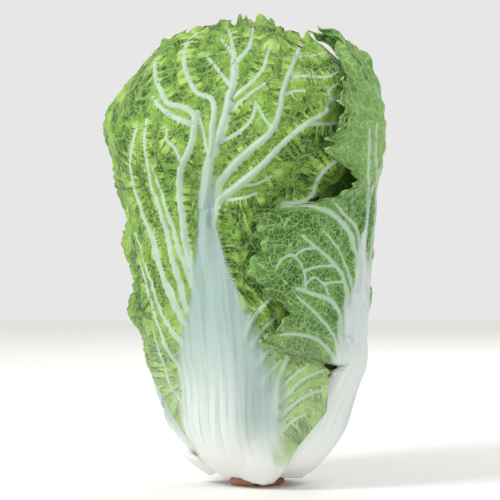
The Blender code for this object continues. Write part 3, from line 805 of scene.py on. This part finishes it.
def stumpMesh():
    bm = bmesh.new()
    face, widest, top = stump["faceRadius"], stump["widest"], stump["top"]
    outline = ((0, 0), (face - 0.8, 0), (face, 0.3), (widest, 1.6), (widest - 0.6, 3.4), (widest - 3, 5.5),
               (14, top - 3.5), (9, top - 0.5), (0, top))
    verts = [bm.verts.new((r * mm, 0, z * mm)) for r, z in outline]
    edges = [bm.edges.new(pair) for pair in zip(verts, verts[1:])]
    bmesh.ops.spin(bm, geom=verts + edges, cent=(0, 0, 0), axis=(0, 0, 1), angle=math.tau,
                   steps=stump["sides"], use_merge=True)
    bmesh.ops.remove_doubles(bm, verts=bm.verts[:], dist=1e-6)
    bmesh.ops.recalc_face_normals(bm, faces=bm.faces[:])
    mesh = meshOf(bm, "fine_stump")
    mesh.shade_smooth()
    return mesh


addPiece(stumpMesh(), stemSkin, "stump")


# The heart: a core shaped by the map of the head, with blades that stand out of it.
heart = {
    "leaves": 6, "firstTurn": 25, "turnStep": 137.5, "tip": 364, "tipStep": 4, "seed": 20, "lift": 12,
    "coreDepth": 4, "rings": (72, 44), "exposed": 0.5,
    "blade": {"foot": 150, "rib": (30, 1.6), "spread": 66, "frill": 2.5, "fan": 7, "grid": (48, 64)},
}


# the heart's blades sink their roots in its core and rise at the crown
class HeartShape(LeafShape):
    number = 0

    def lift(self, across, rise, off):
        rooted = 3.4 * (1 - ease(rise, self.leaf["foot"] + 25, self.leaf["foot"] + 70))
        raised = heart["lift"] * ease(rise, 285, 350) / (1 + self.number)
        return super().lift(across, rise, off) * ease(rise, 230, 300) - rooted + raised


def coreMesh():
    bm = bmesh.new()
    around, up = heart["rings"]
    bmesh.ops.create_uvsphere(bm, u_segments=around, v_segments=up, radius=1)
    bmesh.ops.recalc_face_normals(bm, faces=bm.faces[:])
    mesh = meshOf(bm, "core")
    spots = spotsOf(mesh)
    level = np.degrees(np.arcsin(np.clip(spots[:, 2], -1, 1))) / 180 + 0.5
    turn = np.degrees(np.arctan2(spots[:, 0], -spots[:, 1]))
    rise = head["crown"] * (level - 0.03) / 0.97
    placed = place(turn, np.maximum(rise, 0), -heart["coreDepth"] * ease(rise, 10, 60))
    placed[rise < 0] = (0, 0, head["skinHeight"][0] * mm)
    moveSpots(mesh, placed)
    return mesh


cover = np.full(mapTurn.shape, -float(heart["coreDepth"]))
heartParts = [coreMesh()]
for number in range(heart["leaves"]):
    leaf = {**heart["blade"], "turn": wrapped(heart["firstTurn"] + heart["turnStep"] * number),
            "tip": heart["tip"] - heart["tipStep"] * number, "seed": heart["seed"] + number}
    shape = HeartShape(leaf)
    shape.number = number
    field = clearOf(cover)
    exposed = np.full(mapTurn.shape, heart["exposed"])
    heartParts.append(leafMesh("heartBlade", leaf, shape, fieldReader(field), exposed))
    cover = shape.laid(field, cover)
joined = bmesh.new()
for part in heartParts:
    joined.from_mesh(part)
heartMesh = meshOf(joined, "fine_heart")
heartMesh.shade_smooth()
addPiece(heartMesh, leafSkins["heart"], "heart")
cover = np.maximum(cover, 0)
print("stage: heart done")

# The leaves, from the heart outwards.
# turn: where the rib leaves the stem, degrees round from the front; foot, tip: start and end up the head.
# rib: half width in degrees and thickness of the rib at its foot; spread: half width of the blade;
# frill: height of the edge's waves; fan: columns that the blade's broad folds follow;
# grid: faces across and up; middle, left, right: rib line and side edges, as (height, degrees).
innerUsual = {"rib": (33, 5.0), "spread": 76, "frill": 2.0, "fan": 10, "grid": (80, 130)}
innerLeaves = (
    {**innerUsual, "name": "inner_leaf_back", "turn": 170, "foot": 10, "tip": 362, "seed": 1,
     "spread": 78, "frill": 1.6},
    {**innerUsual, "name": "inner_leaf_left", "turn": -68, "foot": 9, "tip": 356, "seed": 2, "frill": 1.6},
    {**innerUsual, "name": "inner_leaf_right", "turn": 62, "foot": 8, "tip": 346, "seed": 3},
    {**innerUsual, "name": "inner_leaf_back_left", "turn": -140, "foot": 7, "tip": 344, "seed": 4,
     "rib": (34, 5.5)},
    {**innerUsual, "name": "inner_leaf_front", "turn": 4, "foot": 6, "tip": 346, "seed": 5,
     "rib": (34, 5.5), "spread": 78, "frill": 2.2, "fan": 12, "grid": (90, 140)},
)
outerUsual = {"rib": (35, 6.5), "spread": 74, "frill": 4.0, "fan": 12, "grid": (120, 180)}
outerLeaves = (
    {**outerUsual, "name": "outer_leaf_back", "turn": 172, "foot": 4, "tip": 338, "seed": 6,
     "rib": (36, 6.5), "spread": 80, "frill": 3.6, "grid": (130, 190)},
    {**outerUsual, "name": "outer_leaf_back_right", "turn": 112, "foot": 3, "tip": 322, "seed": 7},
    {**outerUsual, "name": "outer_leaf_left", "turn": -104, "foot": 3, "tip": 318, "seed": 8, "frill": 5.0},
)
frontLeaf = {
    "name": "outer_leaf_front", "turn": -20, "foot": 2, "tip": 340, "rib": (36, 7.0),
    "frill": 3.8, "seed": 9, "fan": 20, "grid": (160, 290),
    "middle": ((2, -20), (47, -22), (88, -17), (140, -17), (203, -18.5), (231, -15), (249, -11),
               (270, -8), (340, -7)),
    "left": ((2, -58), (29, -61), (50, -64), (90, -80), (150, -92), (205, -92), (250, -82), (340, -76)),
    "right": ((2, 22), (29, 24), (42, 27), (55, 34), (66, 43), (80, 43), (90, 40), (110, 34),
              (150, 30), (190, 24), (205, 30), (218, 42), (232, 51), (250, 58), (300, 60), (340, 62)),
}
# flapFoot: heights between which the blade passes over the front leaf; ribBeside, ribSweep: the degrees and
# heights over which the rib does so; curl: side, height, and where it starts and ends; ribFar: how much wider
# the rib is on its far side; ruffle: the near edge's ripples over the far one's; dense: where rows are close.
rightLeaf = {
    "name": "outer_leaf_right", "turn": 57, "foot": 2, "tip": 310, "rib": (34, 7.0),
    "frill": 4.2, "seed": 10, "fan": 18, "grid": (140, 325),
    "middle": ((2, 52), (40, 56), (90, 66), (140, 68), (190, 72), (240, 86), (310, 88)),
    "left": ((2, 18), (40, 22), (60, 32), (90, 46), (96, 46), (99, 30), (104, 17), (114, 10), (131, 14),
             (145, 4), (182, 3), (194, 5), (200, 16), (206, 31), (213, 39), (224, 40), (244, 34), (310, 30)),
    "right": ((2, 86), (47, 94), (90, 108), (150, 120), (205, 120), (250, 116), (310, 108)),
    "flapFoot": (90, 95),
    "flapLift": 1.2,
    "curl": (-1, 6.0, 104, 205),
    "ribBeside": (45, 51),
    "ribSweep": (60, 120),
    "ribFar": 2.2,
    "ruffle": 2.6,
    "dense": ((88, 118), (188, 222)),
}
stub = {
    "name": "leaf_stub", "turn": -88, "foot": 4, "tip": 29, "rib": (10, 3.4), "frill": 0.0,
    "seed": 11, "fan": 6, "grid": (40, 40), "halves": (16, 9), "reach": 3.0, "rounding": 9,
}

# Veins of the two leaves that the photograph shows: x and y of each point in turn, in its pixels, then the
# half width in millimetres at the first and last point, and the height.
frontVeins = (
    ((204, 290, 205, 240, 207, 191, 211, 163, 219.5, 138, 227, 115, 230.5, 96, 234.5, 76, 234, 61), 4.7, 2.1,
      1.9),
    ((234, 66, 240, 61, 247, 54, 251, 42, 253, 31), 1.6, 0.8, 1.2),
    ((234, 63, 229, 51, 222, 42), 1.2, 0.8, 1.0),
    ((235, 65, 232, 44, 229, 32), 1.5, 0.8, 1.1),
    ((203, 232, 207, 200, 212, 165, 213, 138, 211, 100, 199.5, 95.5, 190, 80, 186, 63, 190, 46, 199.5, 36),
      2.2, 1.1, 2.6),
    ((197, 300, 190, 249, 186, 220, 183, 191, 184, 168, 192, 149, 196, 132, 196, 117, 184, 108.5, 171, 105.5,
      163, 92, 158.5, 76.5, 158, 63), 2.7, 1.3, 2.9),
    ((195, 126, 176.5, 118.6, 163, 109, 153.6, 97.6), 1.8, 1.0, 1.7),
    ((188, 310, 173.6, 249, 165, 216, 151.6, 172, 148, 143.5, 150, 118.6), 2.2, 1.0, 1.9),
    ((192, 285, 182, 249, 174.6, 226, 163, 191, 155, 168), 1.8, 0.8, 1.4),
    ((183, 320, 168, 280, 157, 239, 144, 207, 136, 182, 134, 153, 139, 128), 1.9, 1.0, 1.6),
    ((176, 310, 160, 262, 148, 222, 139, 196), 1.5, 0.8, 1.2),
    ((182, 164, 176.5, 149, 169, 140, 168, 128), 1.2, 0.8, 1.1),
    ((185, 345, 176.5, 334, 163, 307, 153.6, 279, 146, 256, 138, 232), 1.9, 0.8, 1.6),
    ((186, 325, 178, 300, 163, 269, 153, 240), 1.5, 0.8, 1.2),
    ((181, 370, 169, 346, 158, 315, 149, 285, 143, 262), 1.6, 0.8, 1.3),
    ((182, 403, 174, 388, 164, 358, 156, 330), 1.5, 0.8, 1.1),
    ((212, 205, 217, 190, 234, 166, 253, 148, 270, 132.5, 278, 115, 282, 92, 287.5, 76.5, 295, 58, 301, 45),
      2.7, 1.1, 2.2),
    ((287, 79, 306, 79, 326, 78, 347, 67), 1.2, 0.8, 1.2),
    ((295, 59, 307, 58, 322, 54), 0.9, 0.8, 0.8),
    ((281, 98, 292, 93, 304, 92), 0.9, 0.8, 0.8),
    ((271, 131, 263, 118, 257, 106), 0.9, 0.8, 0.8),
    ((212, 222, 217, 205, 238, 186, 259, 168, 284, 142, 303, 126, 326, 112), 2.7, 1.1, 2.2),
    ((322, 114, 330, 101, 343, 99, 355, 97), 1.1, 0.8, 1.1),
    ((329, 103, 328, 91, 338, 84), 0.9, 0.8, 0.8),
    ((303, 126, 316, 125, 332, 124, 346, 120), 1.1, 0.8, 1.1),
    ((231, 112, 249, 96, 265, 84), 1.2, 0.8, 1.1),
    ((231, 100, 251, 84, 263, 69, 268, 50), 1.4, 0.8, 1.2),
    ((231, 90, 219, 73, 207, 58), 1.2, 0.8, 1.1),
    ((220, 143, 241.6, 131, 253, 116, 255, 103), 1.2, 0.8, 1.1),
    ((213, 160, 207, 148, 204, 130, 199, 112), 1.1, 0.8, 1.0),
    ((228, 200, 242, 198, 257, 193), 0.9, 0.8, 0.8),
    ((238, 186, 256, 184, 272, 176), 0.9, 0.8, 0.8),
    ((283, 204, 300, 203, 310, 197, 314, 184, 322, 171, 335, 161, 351, 153), 1.8, 1.2, 2.0),
    ((245, 345, 250, 325, 262, 306, 272, 297), 1.8, 0.8, 1.4),
    ((252, 352, 261, 331, 276, 316), 1.5, 0.8, 1.2),
    ((256, 372, 266, 353, 279, 343), 1.5, 0.8, 1.2),
    ((261, 392, 268, 374, 280, 360), 1.4, 0.8, 1.1),
    ((277, 430, 276.5, 403, 279, 375, 288, 354), 2.6, 1.3, 1.4),
    ((278, 405, 288, 392, 302, 379, 323, 370), 1.2, 0.8, 1.2),
    ((279, 390, 290, 377, 308, 364), 1.1, 0.8, 1.1),
    ((279, 418, 293, 404, 309, 394, 322, 390), 1.2, 0.8, 1.1),
    ((281, 432, 293, 420, 306, 413), 0.9, 0.8, 1.0),
)
rightVeins = (
    ((356, 290, 353, 262, 350, 246, 342, 227, 328, 213, 310, 206, 288, 205), 2.6, 1.1, 1.9),
    ((349, 340, 343, 311, 342, 289, 338, 274, 328, 260, 315, 248, 300, 235), 2.2, 0.8, 1.8),
    ((342, 350, 336, 329, 335, 310, 326, 299, 312, 294, 295, 288), 2.2, 1.0, 1.8),
    ((340, 362, 333, 342, 326, 328, 313, 312, 296, 296), 1.4, 0.8, 1.3),
    ((334, 360, 326, 349, 315, 339, 299, 334, 280, 334), 1.6, 0.8, 1.4),
    ((349, 300, 346.5, 278, 343, 265, 334, 246, 322, 231), 1.2, 0.8, 1.0),
    ((304.6, 291, 303, 272, 296, 259, 288, 252), 0.9, 0.8, 0.8),
    ((303, 271, 311, 268, 320, 266, 331, 266), 0.8, 0.8, 0.7),
    ((305, 284, 313, 277, 322, 283, 332, 282, 341, 281), 0.8, 0.8, 0.7),
    ((293, 257, 301, 250, 313, 248), 0.8, 0.8, 0.7),
    ((276, 268, 284, 257, 292, 255), 0.8, 0.8, 0.7),
    ((322, 284, 325, 291, 327, 298), 0.8, 0.8, 0.7),
    ((360, 270, 357, 246, 352, 228, 340, 212, 331, 202), 1.8, 0.8, 1.6),
    ((357, 380, 361, 330, 366, 270, 370, 215, 373, 170, 374, 125), 2.4, 1.3, 1.9),
    ((350, 380, 354, 330, 358, 280, 362, 225, 365, 180, 367, 130), 2.3, 1.1, 1.9),
    ((345, 380, 348, 340, 351, 300, 354, 268), 1.9, 1.1, 1.4),
)

shapes = {leaf["name"]: LeafShape(leaf) for leaf in (*innerLeaves, *outerLeaves, frontLeaf, rightLeaf, stub)}
order = list(shapes)
for leaf in (*innerLeaves, *outerLeaves):
    shape = shapes[leaf["name"]]
    field = clearOf(cover)
    later = order[order.index(leaf["name"]) + 1 : -1]
    exposed = openBut(np.any([shapes[name].inside() for name in later], axis=0))
    kind = "inner" if leaf in innerLeaves else "outer"
    addLeaf(leaf, fieldReader(field), exposed, kind)
    cover = shape.laid(field, cover)
print("stage: inner and back leaves done")

# The front leaf lies over the foot of the right leaf and under that leaf's flap.
frontShape, rightShape = shapes[frontLeaf["name"]], shapes[rightLeaf["name"]]
lowField = clearOf(cover)
withFoot = rightShape.laid(lowField, cover, below=rightLeaf["flapFoot"][0])
frontField = clearOf(withFoot)
frontOpen = openBut(rightShape.inside() & (mapRise > rightLeaf["flapFoot"][1]))
addLeaf(frontLeaf, fieldReader(frontField), frontOpen, "front", frontVeins)
withFront = frontShape.laid(frontField, withFoot)
highField = clearOf(withFront) + rightLeaf["flapLift"]


def rightRest(turn, rise):
    beside = ease(turn, *rightLeaf["ribBeside"])
    flap = ease(rise, *rightLeaf["flapFoot"]) * (1 - beside) + ease(rise, *rightLeaf["ribSweep"]) * beside
    return readMap(lowField, turn, rise) * (1 - flap) + readMap(highField, turn, rise) * flap


rightOpen = openBut(frontShape.inside() & (mapRise < rightLeaf["flapFoot"][0]))
addLeaf(rightLeaf, rightRest, rightOpen, "right", rightVeins)
cover = rightShape.laid(highField, withFront)

stubField = clearOf(cover, stub["reach"], stub["reach"])
addLeaf(stub, fieldReader(stubField), np.ones(mapTurn.shape), "front")
print("stage: outer leaves done")

# The floor and the light: pale and soft, brightest from the upper left.
studio = {"floorSize": 6.0, "floor": "#F2F1EE", "sky": "#FFFFFF", "skyStrength": 0.80, "aim": (0, 0, 0.16)}
lamps = (
    {"name": "keyLamp", "at": (-1.3, -1.0, 1.5), "size": 0.6, "power": 25},
    {"name": "fillLamp", "at": (1.5, -1.4, 0.5), "size": 1.4, "power": 3},
    {"name": "backLamp", "at": (0.5, 1.5, 1.3), "size": 1.0, "power": 8},
)
bm = bmesh.new()
bmesh.ops.create_grid(bm, x_segments=1, y_segments=1, size=studio["floorSize"] / 2)
floorMesh = meshOf(bm, "floor")
floor = bpy.data.objects.new("floor", floorMesh)
bpy.context.scene.collection.objects.link(floor)
floorPaint = bpy.data.materials.new("floorPaint")  # matt wall paint
floorPaint.use_nodes = True
paint = floorPaint.node_tree.nodes["Principled BSDF"].inputs
paint["Base Color"].default_value = hexColour(studio["floor"])
paint["Roughness"].default_value = 0.9
floorMesh.materials.append(floorPaint)
world = bpy.data.worlds.new("studioWorld")
world.use_nodes = True
sky = world.node_tree.nodes["Background"].inputs
sky["Color"].default_value = hexColour(studio["sky"])
sky["Strength"].default_value = studio["skyStrength"]
bpy.context.scene.world = world
for lamp in lamps:
    light = bpy.data.lights.new(lamp["name"], "AREA")
    light.shape = "DISK"
    light.size = lamp["size"]
    light.energy = lamp["power"]
    holder = bpy.data.objects.new(lamp["name"], light)
    holder.location = lamp["at"]
    holder.rotation_euler = (Vector(studio["aim"]) - Vector(lamp["at"])).to_track_quat("-Z", "Y").to_euler()
    bpy.context.scene.collection.objects.link(holder)

bpy.context.scene.view_settings.view_transform = "Standard"

# The camera: straight ahead, as far off as the photograph's flat view asks for.
camera = bpy.data.objects.new("camera", bpy.data.cameras.new("camera"))
camera.data.sensor_width = view["sensor"]
camera.data.lens = view["sensor"] * view["distance"] / (view["frame"] * view["metresPerPixel"])
camera.location = (view["side"], -view["distance"], view["height"])
camera.rotation_euler = (math.radians(90), 0, 0)
bpy.context.scene.collection.objects.link(camera)
bpy.context.scene.camera = camera

print("stage: studio ready")
